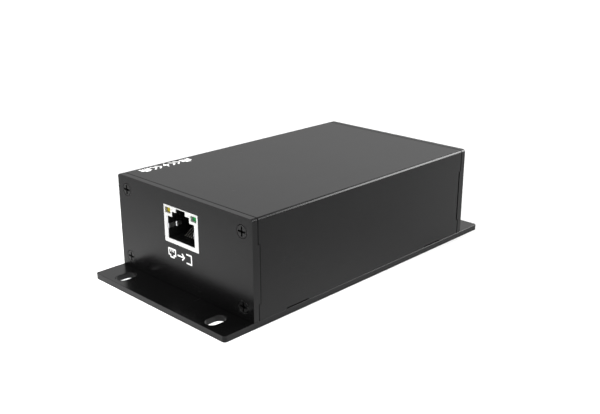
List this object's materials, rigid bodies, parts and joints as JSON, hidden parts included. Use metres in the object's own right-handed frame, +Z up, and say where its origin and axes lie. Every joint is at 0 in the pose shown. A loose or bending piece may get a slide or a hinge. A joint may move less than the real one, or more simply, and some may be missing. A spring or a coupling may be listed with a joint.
{
  "type": "power over ethernet injector",
  "caption": "Flanged black aluminium box that adds DC power to a network cable, with a modular socket at each end and a pluggable DC terminal.",
  "frame": {"origin": "centre of the underside of the base plate", "axes": "+Z up, away from the mounting surface; -Y towards the front panel with the input socket; +X to the right seen from the front"},
  "size_m": [0.065, 0.128, 0.034],
  "materials": {
    "black_anodised_aluminium": "black anodised, fine grain along the length",
    "black_oxide_screw": "black oxide, slightly glossy",
    "zinc_plated_steel": "bright zinc plating",
    "nickel_plated_shield": "satin nickel plating on sheet brass",
    "gold_plated_contact": "thin gold plating, bright",
    "tin_plated_copper": "bright tin plating",
    "brass_stud": "turned brass, satin",
    "plain_aluminium": "milled, satin",
    "black_nylon": "moulded, fine matte",
    "green_nylon": "moulded, semi-matte",
    "yellow_lens": "translucent, unlit",
    "green_lens": "translucent, unlit",
    "green_fibreglass": "solder mask over glass cloth",
    "ferrite": "sintered, matte",
    "winding_tape": "polyester film tape",
    "copper_winding": "enamelled wire",
    "capacitor_sleeve": "shrunk film sleeve",
    "ceramic_tube": "glazed ceramic",
    "clear_film": "thin polyester sheet"
  },
  "bodies": {
    "chassis": {"base_plate": "black_anodised_aluminium", "cover": "black_anodised_aluminium", "front_panel": "black_anodised_aluminium", "rear_panel": "black_anodised_aluminium", "front_screw_1": "black_oxide_screw", "front_screw_2": "black_oxide_screw", "front_screw_3": "black_oxide_screw", "front_screw_4": "black_oxide_screw", "rear_screw_1": "black_oxide_screw", "rear_screw_2": "black_oxide_screw", "rear_screw_3": "black_oxide_screw", "rear_screw_4": "black_oxide_screw", "base_screw_1": "black_oxide_screw", "base_screw_2": "black_oxide_screw", "base_screw_3": "black_oxide_screw", "base_screw_4": "black_oxide_screw", "insulation_sheet": "clear_film", "circuit_board": "green_fibreglass", "board_standoff_1": "zinc_plated_steel", "board_screw_1": "zinc_plated_steel", "board_standoff_2": "zinc_plated_steel", "board_screw_2": "zinc_plated_steel", "board_standoff_3": "zinc_plated_steel", "board_screw_3": "zinc_plated_steel", "board_standoff_4": "zinc_plated_steel", "board_screw_4": "zinc_plated_steel", "input_jack_shield": "nickel_plated_shield", "input_jack_housing": "black_nylon", "input_magnetics": "black_nylon", "input_jack_contacts": "gold_plated_contact", "input_jack_yellow_lamp": "yellow_lens", "input_jack_green_lamp": "green_lens", "output_jack_shield": "nickel_plated_shield", "output_jack_housing": "black_nylon", "output_magnetics": "black_nylon", "output_jack_contacts": "gold_plated_contact", "output_jack_yellow_lamp": "yellow_lens", "output_jack_green_lamp": "green_lens", "dc_header": "green_nylon", "dc_header_pin_1": "tin_plated_copper", "dc_header_pin_2": "tin_plated_copper", "earth_washer": "brass_stud", "earth_screw": "brass_stud", "transformer_core": "ferrite", "transformer_winding": "winding_tape", "power_inductor": "copper_winding", "bulk_capacitor_1": "capacitor_sleeve", "bulk_capacitor_2": "capacitor_sleeve", "controller_chip": "black_nylon", "power_transistor": "black_nylon", "heat_spreader": "plain_aluminium", "board_fuse": "ceramic_tube"},
    "dc_plug": {"dc_plug": "green_nylon", "dc_plug_contact_1": "tin_plated_copper", "dc_plug_contact_2": "tin_plated_copper"},
    "terminal_screw_1": {"dc_plug_screw_1": "zinc_plated_steel"},
    "terminal_screw_2": {"dc_plug_screw_2": "zinc_plated_steel"},
    "wire_clamp_1": {"dc_plug_clamp_1": "zinc_plated_steel"},
    "wire_clamp_2": {"dc_plug_clamp_2": "zinc_plated_steel"}
  },
  "joints": [
    {"name": "plug_pull", "type": "slide", "parent": "chassis", "child": "dc_plug", "axis": [0, 1, 0], "range_m": [0, 0.012]},
    {"name": "terminal_screw_1_turn", "type": "hinge", "parent": "dc_plug", "child": "terminal_screw_1", "pos_m": [-0.01454, 0.0575, 0.026], "axis": [0, 0, 1], "range_deg": [-1080, 0]},
    {"name": "wire_clamp_1_rise", "type": "slide", "parent": "dc_plug", "child": "wire_clamp_1", "axis": [0, 0, 1], "range_m": [0, 0.0015]},
    {"name": "terminal_screw_2_turn", "type": "hinge", "parent": "dc_plug", "child": "terminal_screw_2", "pos_m": [-0.00946, 0.0575, 0.026], "axis": [0, 0, 1], "range_deg": [-1080, 0]},
    {"name": "wire_clamp_2_rise", "type": "slide", "parent": "dc_plug", "child": "wire_clamp_2", "axis": [0, 0, 1], "range_m": [0, 0.0015]}
  ],
  "couplings": [
    {"joint": "terminal_screw_1_turn", "follows": "wire_clamp_1_rise", "rad_per_m": -12566},
    {"joint": "terminal_screw_2_turn", "follows": "wire_clamp_2_rise", "rad_per_m": -12566}
  ]
}
